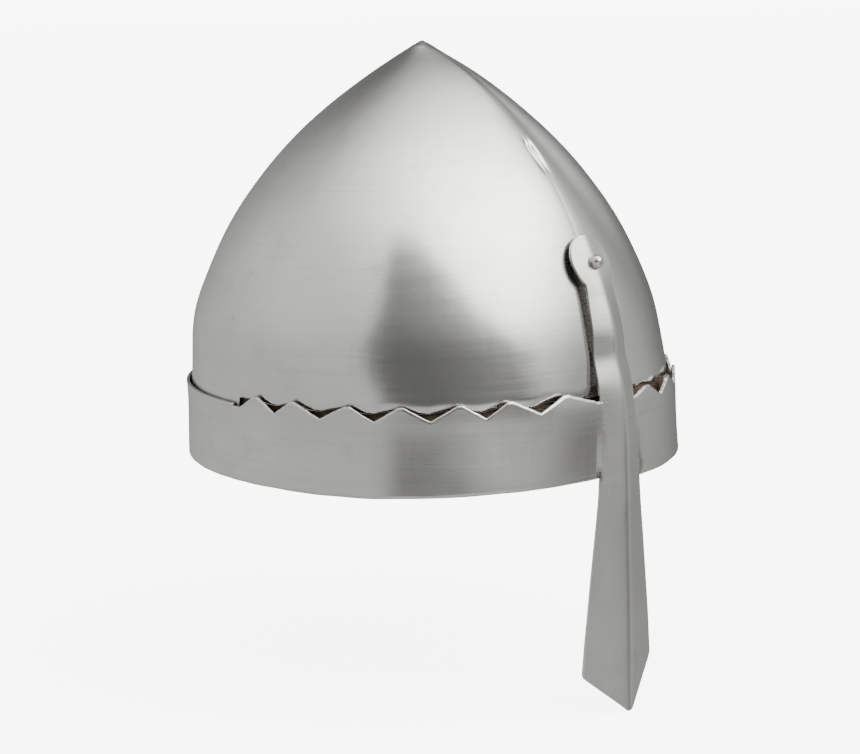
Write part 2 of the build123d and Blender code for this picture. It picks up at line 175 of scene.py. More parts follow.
def slab(name, outer, inner, edge, node_names, slot, material, flush=()):
    """Closed sheet between two point grids [rows, cols, 3]; borders are rounded unless named flush."""
    rows, cols = outer.shape[:2]
    mid = (outer + inner) / 2
    thick = np.linalg.norm(outer - inner, axis=-1, keepdims=True)
    lift = (outer - inner) / np.maximum(thick, 1e-9)
    borders = {"low": (0, 0, 1), "high": (0, -1, -2), "start": (1, 0, 1), "end": (1, -1, -2)}

    def pull(g):
        """Grid with its rounded borders drawn in by the edge radius."""
        g = g.copy()
        for key, (axis, at, beside) in borders.items():
            if key not in flush:
                line = g.take(at, axis)
                d = g.take(beside, axis) - line
                gap = np.maximum(np.linalg.norm(d, axis=-1, keepdims=True), 1e-9)
                line = line + d * np.minimum(0.9, edge / gap)
                if axis == 0:
                    g[at] = line
                else:
                    g[:, at] = line
        return g

    top = pull(outer)
    low = pull(inner)
    ring = [(0, j) for j in range(cols)] + [(i, cols - 1) for i in range(1, rows)]
    ring += [(rows - 1, j) for j in range(cols - 2, -1, -1)] + [(i, 0) for i in range(rows - 2, 0, -1)]
    verts = list(top.reshape(-1, 3)) + list(low.reshape(-1, 3))
    n = rows * cols
    faces = grid_faces(rows, cols)
    faces += [tuple(reversed(f)) for f in grid_faces(rows, cols, base=n)]
    levels = []
    for share in (0.3, 0.0, -0.3):
        levels.append(list(range(len(verts), len(verts) + len(ring))))
        verts += [mid[i, j] + lift[i, j] * thick[i, j] * share for i, j in ring]
    top_ids = [i * cols + j for i, j in ring]
    low_ids = [n + i * cols + j for i, j in ring]
    chain = [top_ids] + levels + [low_ids]
    m = len(ring)
    for a, b in zip(chain[:-1], chain[1:]):
        for k in range(m):
            q = (k + 1) % m
            faces.append((a[q], a[k], b[k], b[q]))
    crisp = set()
    for key in flush:
        axis, at, _ = borders[key]
        at = at % (rows if axis == 0 else cols)
        line = [at * cols + j for j in range(cols)] if axis == 0 else [i * cols + at for i in range(rows)]
        for base in (0, n):
            crisp |= {frozenset((base + a, base + b)) for a, b in zip(line[:-1], line[1:])}
    return make(name, verts, faces, node_names, slot, material, crisp=crisp)


def grid_normals(p):
    du = np.gradient(p, axis=1)
    dv = np.gradient(p, axis=0)
    nn = np.cross(du, dv)
    nn /= np.maximum(np.linalg.norm(nn, axis=-1, keepdims=True), 1e-12)
    return nn


# ---- materials ----------------------------------------------------------------------------------
def node(nt, kind, **values):
    n = nt.nodes.new(kind)
    for key, value in values.items():
        if key.startswith("in_"):
            n.inputs[key[3:].replace("_", " ")].default_value = value
        else:
            setattr(n, key, value)
    return n


def material(name):
    mat = bpy.data.materials.new(name)
    mat.use_nodes = True
    nt = mat.node_tree
    return mat, nt, nt.nodes["Principled BSDF"]


def mixed(nt, fac, a, b):
    """Colour between a and b by a socket or a number."""
    m = nt.nodes.new("ShaderNodeMix")
    m.data_type = "RGBA"
    for value, sock in ((fac, m.inputs[0]), (a, m.inputs[6]), (b, m.inputs[7])):
        if isinstance(value, bpy.types.NodeSocket):
            nt.links.new(value, sock)
        else:
            sock.default_value = value
    return m.outputs[2]


def maths(nt, op, a, b=0.5, c=None):
    m = nt.nodes.new("ShaderNodeMath")
    m.operation = op
    for i, value in enumerate((a, b, c)):
        if value is None:
            continue
        if isinstance(value, bpy.types.NodeSocket):
            nt.links.new(value, m.inputs[i])
        else:
            m.inputs[i].default_value = value
    return m.outputs[0]


def steps(nt, value, low, high, a=0.0, b=1.0):
    m = nt.nodes.new("ShaderNodeMapRange")
    m.interpolation_type = "SMOOTHSTEP"
    nt.links.new(value, m.inputs[0])
    for i, v in zip((1, 2, 3, 4), (low, high, a, b)):
        m.inputs[i].default_value = v
    return m.outputs[0]


def noise_at(nt, coords, scale, detail=3.0, stretch=None, turn=(0, 0, 0), rough=0.55):
    if stretch:
        mp = node(nt, "ShaderNodeMapping")
        mp.inputs["Scale"].default_value = stretch
        mp.inputs["Rotation"].default_value = turn
        nt.links.new(coords, mp.inputs[0])
        coords = mp.outputs[0]
    n = node(nt, "ShaderNodeTexNoise", in_Scale=scale, in_Detail=detail, in_Roughness=rough)
    nt.links.new(coords, n.inputs["Vector"])
    return n.outputs[0]


def near(nt, coords, centre, size):
    """1 at a point, falling to 0 outside an ellipsoid of the given half sizes."""
    sub = node(nt, "ShaderNodeVectorMath", operation="SUBTRACT")
    nt.links.new(coords, sub.inputs[0])
    sub.inputs[1].default_value = centre
    div = node(nt, "ShaderNodeVectorMath", operation="DIVIDE")
    nt.links.new(sub.outputs[0], div.inputs[0])
    div.inputs[1].default_value = size
    ln = node(nt, "ShaderNodeVectorMath", operation="LENGTH")
    nt.links.new(div.outputs[0], ln.inputs[0])
    return steps(nt, ln.outputs["Value"], 0.25, 1.0, 1.0, 0.0)


def steel(name, light, dark, rough, grain=1.0, joint_shade=()):
    """Hand-polished satin steel: mottled tone, fine level polishing marks crossed by a few others, pits,
    and painted shade at any given joint spots.
    """
    mat, nt, bsdf = material(name)
    co = node(nt, "ShaderNodeTexCoord").outputs["Object"]
    tone = noise_at(nt, co, 14.0, 4.0)
    cloud = noise_at(nt, co, 75.0, 4.0)
    level = noise_at(nt, co, 12.0, 5.0, (1.0, 1.0, 55.0), (0.06, -0.05, 0.0), 0.65)
    steep = noise_at(nt, co, 14.0, 4.0, (38.0, 38.0, 1.0), (0.5, 0.35, 0.2), 0.6)
    marks = maths(nt, "MULTIPLY_ADD", steep, 0.35, level)
    grit = noise_at(nt, co, 1400.0, 2.0)
    col = mixed(nt, steps(nt, tone, 0.3, 0.7), dark, light)
    shade = tuple(c * 0.80 for c in dark[:3]) + (1,)
    col = mixed(nt, steps(nt, cloud, 0.52, 0.78, 0.0, 0.35), col, shade)
    col = mixed(nt, steps(nt, marks, 0.66, 0.92, 0.0, 0.30), col, shade)
    pits = node(nt, "ShaderNodeTexVoronoi", in_Scale=230.0)
    nt.links.new(co, pits.inputs["Vector"])
    sparse = steps(nt, noise_at(nt, co, 38.0, 2.0), 0.64, 0.72)
    pit = maths(nt, "MULTIPLY", steps(nt, pits.outputs[0], 0.05, 0.15, 1.0, 0.0), sparse)
    col = mixed(nt, maths(nt, "MULTIPLY", pit, 0.5), col, (0.14, 0.13, 0.12, 1))
    # Painted shade: each given spot darkens the colour towards its tint, with a ragged edge.
    for centre, size, tint, strength in joint_shade:
        spot = near(nt, co, centre, size)
        ragged = maths(nt, "MULTIPLY", spot, steps(nt, noise_at(nt, co, 240.0, 4.0), 0.3, 0.62))
        col = mixed(nt, maths(nt, "MULTIPLY", ragged, strength), col, tint)
    nt.links.new(col, bsdf.inputs["Base Color"])
    bsdf.inputs["Metallic"].default_value = 1.0
    brushed = steps(nt, marks, 0.5, 0.95, rough - 0.02, rough + 0.03)
    r = maths(nt, "ADD", brushed, steps(nt, cloud, 0.4, 0.8, 0.0, 0.03))
    nt.links.new(maths(nt, "ADD", r, maths(nt, "MULTIPLY", pit, 0.2)), bsdf.inputs["Roughness"])
    h = maths(nt, "MULTIPLY_ADD", marks, 0.35, maths(nt, "MULTIPLY", pit, -0.9))
    h = maths(nt, "MULTIPLY_ADD", grit, 0.10, h)
    bump = node(nt, "ShaderNodeBump", in_Strength=0.10 * grain, in_Distance=0.0004)
    nt.links.new(h, bump.inputs["Height"])
    nt.links.new(bump.outputs[0], bsdf.inputs["Normal"])
    return mat


def leather(name, light, dark):
    mat, nt, bsdf = material(name)
    co = node(nt, "ShaderNodeTexCoord").outputs["Object"]
    tone = noise_at(nt, co, 28.0, 5.0)
    col = mixed(nt, steps(nt, tone, 0.32, 0.7), dark, light)
    cells = node(nt, "ShaderNodeTexVoronoi", in_Scale=900.0, feature="DISTANCE_TO_EDGE")
    warp = node(nt, "ShaderNodeVectorMath", operation="MULTIPLY_ADD")
    nz = node(nt, "ShaderNodeTexNoise", in_Scale=300.0)
    nt.links.new(co, nz.inputs["Vector"])
    nt.links.new(nz.outputs[1], warp.inputs[0])
    warp.inputs[1].default_value = (0.0012, 0.0012, 0.0012)
    nt.links.new(co, warp.inputs[2])
    nt.links.new(warp.outputs[0], cells.inputs["Vector"])
    groove = steps(nt, cells.outputs[0], 0.0, 0.12)
    worn = steps(nt, noise_at(nt, co, 65.0, 6.0), 0.5, 0.75, 0.0, 0.45)
    col = mixed(nt, worn, col, tuple(min(1, c * 1.7) for c in light[:3]) + (1,))
    deep = tuple(c * 0.4 for c in dark[:3]) + (1,)
    col = mixed(nt, maths(nt, "MULTIPLY_ADD", groove, -0.35, 0.35), col, deep)
    nt.links.new(col, bsdf.inputs["Base Color"])
    nt.links.new(steps(nt, tone, 0.3, 0.7, 0.5, 0.72), bsdf.inputs["Roughness"])
    h = maths(nt, "MULTIPLY_ADD", noise_at(nt, co, 120.0, 4.0), 0.8, groove)
    bump = node(nt, "ShaderNodeBump", in_Strength=0.5, in_Distance=0.0003)
    nt.links.new(h, bump.inputs["Height"])
    nt.links.new(bump.outputs[0], bsdf.inputs["Normal"])
    return mat


# Painted shade for the gaps where the nasal meets the brow band: a brown tone and a dark grey.
GAP_SHADE_BROWN = (0.20, 0.13, 0.08, 1)
GAP_SHADE_DARK = (0.10, 0.09, 0.08, 1)
# Painted shade in those gaps (centre, half sizes, colour, strength): brown low at the nasal's +X edge, dark
# in the open crack on -X, faint higher up that edge.
JOINT_GAP_SHADE = (
    ((0.0135, -0.105, 0.004), (0.0035, 0.006, 0.010), GAP_SHADE_BROWN, 0.65),
    ((-0.0128, -0.105, 0.002), (0.0022, 0.006, 0.005), GAP_SHADE_DARK, 0.7),
    ((-0.0112, -0.105, 0.019), (0.0030, 0.006, 0.013), GAP_SHADE_DARK, 0.22),
)
SKULL = steel("skull steel", (0.66, 0.655, 0.635, 1), (0.58, 0.575, 0.555, 1), 0.19)
BAND = steel("band steel", (0.62, 0.615, 0.595, 1), (0.52, 0.515, 0.495, 1), 0.25, 1.2, JOINT_GAP_SHADE)
NASAL = steel("nasal steel", (0.62, 0.615, 0.595, 1), (0.53, 0.525, 0.505, 1), 0.26, 1.2, JOINT_GAP_SHADE)
WELD = steel("ground weld", (0.55, 0.54, 0.52, 1), (0.42, 0.41, 0.39, 1), 0.36, 2.2)
RIVET = steel("rivet steel", (0.68, 0.67, 0.64, 1), (0.55, 0.54, 0.52, 1), 0.24, 1.5)
LEATHER = leather("liner leather", (0.115, 0.070, 0.042, 1), (0.060, 0.036, 0.022, 1))
LACE = leather("lace leather", (0.17, 0.10, 0.055, 1), (0.09, 0.05, 0.03, 1))


def waxed_thread():
    """Waxed linen: fibres along the ply, darker where the wax has taken dirt."""
    mat, nt, bsdf = material("waxed thread")
    co = node(nt, "ShaderNodeTexCoord").outputs["Object"]
    fibre = noise_at(nt, co, 2600.0, 3.0)
    grime = noise_at(nt, co, 180.0, 3.0)
    col = mixed(nt, steps(nt, fibre, 0.3, 0.7), (0.30, 0.23, 0.15, 1), (0.47, 0.38, 0.26, 1))
    col = mixed(nt, steps(nt, grime, 0.45, 0.7, 0.0, 0.6), col, (0.14, 0.10, 0.065, 1))
    nt.links.new(col, bsdf.inputs["Base Color"])
    bsdf.inputs["Roughness"].default_value = 0.62
    bsdf.inputs["Sheen Weight"].default_value = 0.3
    bump = node(nt, "ShaderNodeBump", in_Strength=0.6, in_Distance=0.0001)
    nt.links.new(fibre, bump.inputs["Height"])
    nt.links.new(bump.outputs[0], bsdf.inputs["Normal"])
    return mat


THREAD = waxed_thread()

# ---- skull ----------------------------------------------------------------------------------------
MM = 0.001
SKULL_SHEET = 1.5 * MM
BAND_SHEET = 1.4 * MM
NASAL_SHEET = 1.6 * MM
HEAD_BAND_LEATHER = 1.8 * MM
TONGUE_LEATHER = 1.4 * MM
shell = tree("skull_right", "skull_left", "crest_weld_front", "crest_weld_rear", "apex_bead")
bands = {n: tree(n) for n in ("brow_band_right", "brow_band_left", "rear_band")}
top_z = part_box("apex_bead")[1].z
tooth_z = max(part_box(n)[1].z for n in ("brow_band_right", "brow_band_left"))
valley_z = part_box("rear_band")[1].z - 1.0 * MM


def edge_z(bvh, angle, inside, outside):
    """Height where the wall ends between a level that hits it and one that misses."""
    for _ in range(11):
        middle = (inside + outside) / 2
        if radius_at(bvh, angle, middle) is None:
            outside = middle
        else:
            inside = middle
    return inside


def arm_of(angle):
    a = math.degrees(angle) % 360
    if a > 180:
        a -= 360
    if abs(a) > 99.0:
        return "rear_band"
    return "brow_band_right" if a > 0 else "brow_band_left"


def tooth_share(angle):
    """0 in a valley, 1 at a tooth's tip, 0 on the plain rear band."""
    name = arm_of(angle)
    if name == "rear_band" or radius_at(bands[name], angle, 20 * MM) is None:
        return 1.0
    z = edge_z(bands[name], angle, 20 * MM, tooth_z + 2 * MM)
    return min(1.0, max(0.0, (z - valley_z) / (5.6 * MM)))


RIDGE = 0.35 * MM          # rounding of the ground ridge, to each side


def rim_line(angles):
    """Height of the skull's front edge: it sags behind each valley and rises towards the nasal side."""
    edge = np.array([edge_z(shell, a, 36 * MM, 20 * MM) for a in angles])
    share = np.array([tooth_share(a) for a in angles])
    fall = np.sign(np.gradient(share)) * (share < 0.98)
    fall = blur(fall, 2.5, 0)
    toothed = (np.abs(np.degrees(angles)) < 95) & (np.abs(np.degrees(angles)) > 9)
    hand = np.array([0.5 + 0.5 * noise.noise(Vector((a * 4.0, 2.2, 6.1))) for a in angles])
    return edge + toothed * MM * (0.25 - 1.0 * (1 - share) - 0.75 * fall * (0.5 + hand))


def skull_grid(side):
    cols = 280
    rows = 190
    q = np.linspace(0, 1, cols)
    angles = side * (0.5 * math.pi * (1 - np.cos(math.pi * q)) * 0.62 + math.pi * q * 0.38)
    heights = 1 - (1 - np.linspace(0, 1, rows)) ** 1.45
    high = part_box("apex_bead")[0].z
    level = np.linspace(36 * MM, high + 0.3 * MM, 240)
    lean = np.linspace(0, math.pi, 361)
    rad = np.zeros((len(level), len(lean)))
    for j, a in enumerate(lean):
        last = 0.0
        for i, z in enumerate(level):
            r = radius_at(shell, side * a, z)
            last = r if r is not None else last * 0.98
            rad[i, j] = last
    rad = blur(blur(rad, 1.6, 1), 2.4, 0)
    low = rim_line(angles)
    grid = np.zeros((rows, cols, 3))
    slope = (rad[3] - rad[0]) / (level[3] - level[0])
    for j, a in enumerate(np.abs(angles)):
        for i, s in enumerate(heights):
            z = low[j] + (high - low[j]) * s
            k = np.clip((z - level[0]) / (level[1] - level[0]), 0, len(level) - 1.001)
            row = rad[int(k)] * (1 - k % 1) + rad[int(k) + 1] * (k % 1)
            if z < level[0]:
                row = row + slope * 0.6 * (z - level[0])
            soft = RIDGE / max(np.interp(a, lean, row), 1.5 * RIDGE)
            off = math.hypot(a, soft) if a < 1.5 else math.pi - math.hypot(math.pi - a, soft)
            r = np.interp(off, lean, row)
            tuck = max(0.0, 1 - (z - low[j]) / (4.5 * MM))
            r -= 0.55 * MM * tuck ** 2
            grid[i, j] = (-math.sin(angles[j]) * r, -math.cos(angles[j]) * r, z)
    grid[:, 0, 0] = 0
    grid[:, -1, 0] = 0
    return grid


def thicken(name, outer, depth, flip, edge, node_names, slot_name, mat, flush=()):
    nn = grid_normals(outer)
    if flip:
        nn = -nn
    inner = outer - nn * depth
    if flip:
        outer, inner = outer[:, ::-1], inner[:, ::-1]
        swap = {"start": "end", "end": "start"}
        flush = tuple(swap.get(f, f) for f in flush)
    return slab(name, outer, inner, edge, node_names, slot_name, mat, flush)


halves = {}
for side, name in ((1, "skull_right"), (-1, "skull_left")):
    g = skull_grid(side)
    nn = grid_normals(g) * side
    fade = np.clip((top_z - g[..., 2:3]) / 0.02, 0, 1)
    seam = np.clip(np.abs(g[..., 0:1]) / 0.008, 0, 1) ** 2
    dent = 0.16 * wobble(g, 0.042, 3) + 0.05 * wobble(g, 0.016, 5) + 0.012 * wobble(g, 0.006, 9)
    g = g - nn * (dent[..., None] * MM * fade * seam)
    halves[side] = g
    ends = ("start", "end", "high")
    thicken(name + "_shell", g, SKULL_SHEET, side > 0, 0.25 * MM, [name], "skull_steel", SKULL, ends)


def apex_cap():
    """Ground weld button that closes the crown's point, in line with both halves."""
    ring = np.concatenate([halves[1][-1], halves[-1][-1][-2:0:-1]])
    base = ring[:, 2].mean()
    high = top_z - base
    soft = 0.13
    verts, faces = [], []
    shares = np.concatenate([np.linspace(1, 0.2, 12), [0.12, 0.05]])
    for share in shares:
        top = math.hypot(1, soft)
        rise = (top - math.hypot(share, soft)) / (top - soft)
        verts += [(x * share, y * share, base + high * rise) for x, y, _ in ring]
    n = len(ring)
    for i in range(len(shares) - 1):
        for k in range(n):
            q = (k + 1) % n
            faces.append((i * n + k, (i + 1) * n + k, (i + 1) * n + q, i * n + q))
    verts += [(0, 0, top_z), (0, 0, base - 0.8 * MM)]
    last = (len(shares) - 1) * n
    for k in range(n):
        q = (k + 1) % n
        faces.append((last + k, len(verts) - 2, last + q))
        faces.append((q, len(verts) - 1, k))
    crisp = {frozenset((k, (k + 1) % n)) for k in range(n)}
    make("apex_cap", verts, faces, ["apex_bead"], "weld_steel", SKULL, crisp)


apex_cap()


def crest_beads():
    """Weld run left on the inside of the ridge, front and back, in short overlapping ripples."""
    for name, col, end in (("crest_weld_front", 0, -1), ("crest_weld_rear", -1, 1)):
        line = halves[1][:, col]
        run = np.concatenate([[0], np.cumsum(np.linalg.norm(np.diff(line, axis=0), axis=1))])
        count = int(run[-1] / (0.45 * MM))
        pts, radii = [], []
        for d in np.linspace(run[-1] * 0.02, run[-1] * 0.985, count):
            y, z = np.interp(d, run, line[:, 1]), np.interp(d, run, line[:, 2])
            y2, z2 = np.interp(d + MM, run, line[:, 1]), np.interp(d + MM, run, line[:, 2])
            t = Vector((0, y2 - y, z2 - z)).normalized()
            inward = Vector((0, -end * t.z, end * t.y))
            pts.append(Vector((0, y, z)) + inward * 1.55 * MM)
            uneven = 0.12 * noise.noise(Vector((d * 300, end, 3)))
            radii.append((0.95 + 0.16 * math.sin(d / (0.9 * MM)) + uneven) * MM)
        verts, faces = tube(pts, radii, 10)
        make(name + "_bead", verts, faces, [name], "weld_steel", WELD)


crest_beads()

# ---- sampling the nasal ---------------------------------------------------------------------------
nasal_tree = tree("nasal")


def nasal_hit(x, z):
    hit = nasal_tree.ray_cast(Vector((x, -0.3, z)), Vector((0, 1, 0)), 0.5)[0]
    return None if hit is None or hit.y > -0.075 else hit.y


def nasal_reach(side, z):
    inside = None
    for x in np.arange(0.5, 12, 0.5) * MM:
        if nasal_hit(side * x, z) is not None:
            inside = x
            break
    if inside is None:
        return 0.0
    for x in np.arange(2.0, 13, 0.5) * MM:
        if x > inside and nasal_hit(side * x, z) is not None:
            inside = x
    outside = 26 * MM
    for _ in range(13):
        m = (inside + outside) / 2
        if nasal_hit(side * m, z) is None:
            outside = m
        else:
            inside = m
    return inside


# ---- brow band ------------------------------------------------------------------------------------
def fit_wall(name, start, end, high):
    """Smooth outer radius of a band piece over angle and height, fitted to its CAD wall."""
    mids, rads = [], []
    for a in np.linspace(start, end, 70):
        for z in np.linspace(3 * MM, high, 30):
            r = radius_at(bands[name], a, z)
            if r is not None and r > 0.09:
                mids.append((a, z))
                rads.append(r)
    mids = np.array(mids)

    def terms(a, z):
        u = 2 * (a - start) / (end - start) - 1
        v = z / 0.03 - 0.5
        return np.stack([u ** i * v ** j for i in range(9) for j in range(4)], -1)

    coef = np.linalg.lstsq(terms(mids[:, 0], mids[:, 1]), np.array(rads), rcond=None)[0]
    return lambda a, z: terms(a, z) @ coef


def band_piece(name, start, end, count, teeth):
    """Sheet of one band piece; returns its outer grid."""
    bvh = bands[name]
    wall = fit_wall(name, start, end, (tooth_z if teeth else valley_z))
    lean = math.radians(0.36)
    if teeth and start > 0:
        end += lean
    elif teeth:
        start -= lean
    else:
        start, end = start - lean, end + lean
    angles = np.linspace(start, end, count)
    low, high = [], []
    for a in angles:
        mid = 15 * MM
        at = min(max(a, start + lean + 0.002), end - lean - 0.002)
        low.append(edge_z(bvh, at, mid, -6 * MM))
        high.append(edge_z(bvh, at, mid, tooth_z + 2 * MM))
    low, high = np.array(low), np.array(high)
    hand = np.array([noise.noise(Vector((a * 9, 3.3, 0.7))) for a in angles])
    low = low + hand * 0.25 * MM
    if teeth:
        ragged = np.array([noise.noise(Vector((a * 55, 1.7, 4.1))) for a in angles])
        high = high + ragged * 0.22 * MM
    rows = 26
    share = np.linspace(0, 1, rows)
    grid = np.zeros((rows, count, 3))
    side = 1 if start > 0 else -1
    for i, s in enumerate(share):
        z = low + (high - low) * s
        turned = angles.copy()
        if teeth:
            front = min(abs(start), abs(end))
            near_nasal = np.clip(1 - (np.abs(angles) - front) / math.radians(6), 0, 1)
            pairs = zip(z, near_nasal)
            meet = np.array([side * front_angle(side, at, wall) if w > 0 else 0 for at, w in pairs])
            turned = angles + near_nasal * (meet - side * front)
        r = wall(turned, z)
        tip = np.clip((z - valley_z) / (tooth_z - valley_z), 0, 1)
        r = r - tip * (0.25 * MM if teeth else 0)
        grid[i] = direction(turned) * r[:, None]
        grid[i, :, 2] = z
    nn = grid_normals(grid)
    sign = 1.0 if (nn[5, count // 2] @ direction(np.array([angles[count // 2]]))[0]) > 0 else -1.0
    nn = nn * sign
    waves = 0.14 * wobble(grid, 0.03, 13) + 0.05 * wobble(grid, 0.011, 17)
    grid = grid + nn * (waves[..., None] * MM)
    ends = ("start", "end")
    thicken(name + "_plate", grid, BAND_SHEET, sign < 0, 0.22 * MM, [name], "band_steel", BAND, ends)
    return grid


def front_angle(side, z, wall):
    """Plan angle where an arm meets the nasal's edge at a height."""
    x = nasal_reach(side * -1, min(max(z, 1 * MM), 36 * MM)) + 0.05 * MM
    angle = side * x / 0.104
    for _ in range(3):
        r = float(wall(np.array([angle]), np.array([min(z, 33 * MM)]))[0])
        angle = side * math.asin(min(0.9, x / r))
    return abs(angle)


def piece_span(name):
    """Plan angles where a band piece's wall starts and ends, at mid height."""
    hits = [a for a in np.radians(np.arange(0, 360, 0.5)) if radius_at(bands[name], a, 15 * MM) is not None]
    hits = np.array(hits)
    gaps = np.diff(np.concatenate([hits, [hits[0] + 2 * math.pi]]))
    k = int(np.argmax(gaps))
    first = hits[(k + 1) % len(hits)]
    last = hits[k]
    if last < first:
        last += 2 * math.pi

    def refine(hit, miss):
        for _ in range(14):
            m = (hit + miss) / 2
            if radius_at(bands[name], m, 15 * MM) is None:
                miss = m
            else:
                hit = m
        return hit

    step = math.radians(0.6)
    return refine(first, first - step), refine(last, last + step)


band_grids = {}
BAND_PIECES = (("brow_band_right", 400, True), ("brow_band_left", 400, True), ("rear_band", 260, False))
for name, count, teeth in BAND_PIECES:
    a0, a1 = piece_span(name)
    if a0 > math.pi:
        a0, a1 = a0 - 2 * math.pi, a1 - 2 * math.pi
    band_grids[name] = band_piece(name, a0, a1, count // (2 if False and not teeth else 1), teeth)


def ground_strip(name, outer, depth, proud, node_names, mat):
    """Ground weld over a butt joint: flush at both long sides, a hair proud along the middle."""
    nn = grid_normals(outer)
    centre = outer.shape[0] // 2, outer.shape[1] // 2
    if nn[centre] @ (outer[centre] * (1, 1, 0)) < 0:
        nn = -nn
    across = np.linspace(-1, 1, outer.shape[1])[None, :, None]
    along = np.linspace(0, 1, outer.shape[0])[:, None, None] * 60
    crown = proud * (1 - 1.9 * across ** 4) * (1 + 0.25 * np.sin(along * 2.1))
    top = outer + nn * crown
    flip = np.cross(outer[1, 0] - outer[0, 0], outer[0, 1] - outer[0, 0]) @ nn[0, 0] > 0
    low = outer - nn * depth
    if not flip:
        top, low = top[:, ::-1], low[:, ::-1]
    slab(name, top, low, 0.1 * MM, node_names, "weld_steel", mat)


def seam_strip(side, name, node_names):
    """Ground seam between an arm of the brow band and the rear band."""
    arm = band_grids["brow_band_right" if side > 0 else "brow_band_left"]
    rear = band_grids["rear_band"]
    arm_cols = (arm[:, -1], arm[:, -4]) if side > 0 else (arm[:, 0], arm[:, 3])
    rear_cols = (rear[:, 0], rear[:, 3]) if side > 0 else (rear[:, -1], rear[:, -4])
    levels = np.linspace(arm_cols[0][0, 2] + 0.2 * MM, arm_cols[0][-1, 2] - 0.2 * MM, 30)

    def at(line):
        return np.stack([np.interp(levels, line[:, 2], line[:, k]) for k in range(3)], -1)

    meet = (at(arm_cols[0]) + at(rear_cols[0])) / 2
    before, after = at(arm_cols[1]), at(rear_cols[1])
    before = meet + (before - meet) / np.linalg.norm(before - meet, axis=1, keepdims=True) * 1.1 * MM
    after = meet + (after - meet) / np.linalg.norm(after - meet, axis=1, keepdims=True) * 1.1 * MM
    t = np.linspace(-1, 1, 9)
    outer = np.stack([meet + np.where(u < 0, -u * (before - meet), u * (after - meet)) for u in t], 1)
    ground_strip(name, outer, 1.3 * MM, 0.03 * MM, node_names, BAND)


seam_strip(1, "seam_weld_right", ["seam_welds"])
seam_strip(-1, "seam_weld_left", [])

# ---- nasal ----------------------------------------------------------------------------------------
def nasal_piece():
    lo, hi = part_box("nasal")
    rows = 300
    q = np.linspace(0, 1, rows)
    q = 0.75 * q + 0.25 * 0.5 * (1 - np.cos(math.pi * q))
    zs = lo.z + 0.03 * MM + (hi.z - lo.z - 0.06 * MM) * q
    crease, fold = [], []
    for z in zs:
        zz = min(max(z, lo.z + 12 * MM), hi.z - 7 * MM)
        y4 = [nasal_hit(s * 4 * MM, zz) for s in (1, -1)]
        y7 = [nasal_hit(s * 6.5 * MM, zz) for s in (1, -1)]
        f = (sum(y7) - sum(y4)) / 2 / (2.5 * MM)
        crease.append(sum(y4) / 2 - f * 4 * MM)
        fold.append(f)
    crease, fold = np.array(crease), np.array(fold)
    for k in range(rows):
        if zs[k] < lo.z + 12 * MM or zs[k] > hi.z - 7 * MM:
            edge_k = int(np.argmin(np.abs(zs - (lo.z + 12 * MM if zs[k] < 0 else hi.z - 7 * MM))))
            side = 1 if zs[k] < 0 else -1
            run = (crease[edge_k + 12 * side] - crease[edge_k]) / (zs[edge_k + 12 * side] - zs[edge_k])
            crease[k] = crease[edge_k] + run * (zs[k] - zs[edge_k])
    crease = blur(crease, 3.0, 0)
    fold = blur(fold, 5.0, 0)
    wide = np.array([[nasal_reach(s, z) for s in (-1, 1)] for z in zs])
    wide = np.maximum(wide, 0.35 * MM)
    cols = 45
    t = np.linspace(-1, 1, cols)
    t = 0.35 * t + 0.65 * np.sin(t * math.pi / 2)
    grid = np.zeros((rows, cols, 3))
    for i in range(rows):
        x = np.where(t < 0, t * wide[i, 0], t * wide[i, 1])
        soft = 1.3 * MM
        y = crease[i] + fold[i] * (np.sqrt(x * x + soft * soft) - soft * 0.75)
        grid[i] = np.stack([x, y, np.full(cols, zs[i])], -1)
    nn = grid_normals(grid)
    if nn[rows // 2, cols // 2, 1] > 0:
        nn = -nn
        flip = True
    else:
        flip = False
    hand = 0.12 * wobble(grid, 0.022, 21) + 0.04 * wobble(grid, 0.009, 23)
    grid = grid + nn * (hand[..., None] * MM)
    thicken("nasal_plate", grid, NASAL_SHEET, flip, 0.3 * MM, ["nasal"], "nasal_steel", NASAL)
    return grid


nasal_grid = nasal_piece()


def collar_strip(side, name, node_names, start):
    """Ground weld that carries the band's surface into the nasal's flank; start leaves a crack open."""
    arm = band_grids["brow_band_right" if side > 0 else "brow_band_left"]
    arm_cols = [arm[:, k] if side > 0 else arm[:, -1 - k] for k in (0, 6)]
    edge_cols = [nasal_grid[:, k] if side > 0 else nasal_grid[:, -1 - k] for k in (0, 3)]
    levels = np.linspace(arm_cols[0][0, 2] + start, arm_cols[0][-1, 2] - 0.5 * MM, 36)

    def at(line):
        return np.stack([np.interp(levels, line[:, 2], line[:, k]) for k in range(3)], -1)

    band_in, band_out = at(arm_cols[0]), at(arm_cols[1])
    edge, flank = at(edge_cols[0]), at(edge_cols[1])
    run_band = (band_out - band_in) / np.linalg.norm(band_out - band_in, axis=1, keepdims=True)
    run_flank = (edge - flank) / np.linalg.norm(edge - flank, axis=1, keepdims=True)
    first = edge - run_flank * 1.3 * MM
    last = band_in + run_band * 2.3 * MM
    span = np.linalg.norm(last - first, axis=1, keepdims=True)
    cols = []
    for t in np.linspace(0, 1, 13):
        cols.append(first * (1 + 2 * t) * (1 - t) ** 2 + run_flank * span * t * (1 - t) ** 2
                    + last * t * t * (3 - 2 * t) + run_band * span * t * t * (t - 1))
    outer = np.stack(cols, 1)
    ground_strip(name, outer, 1.2 * MM, 0.05 * MM, node_names, NASAL)


collar_strip(1, "nasal_weld_right", ["nasal_welds"], 2.6 * MM)
collar_strip(-1, "nasal_weld_left", [], 0.5 * MM)

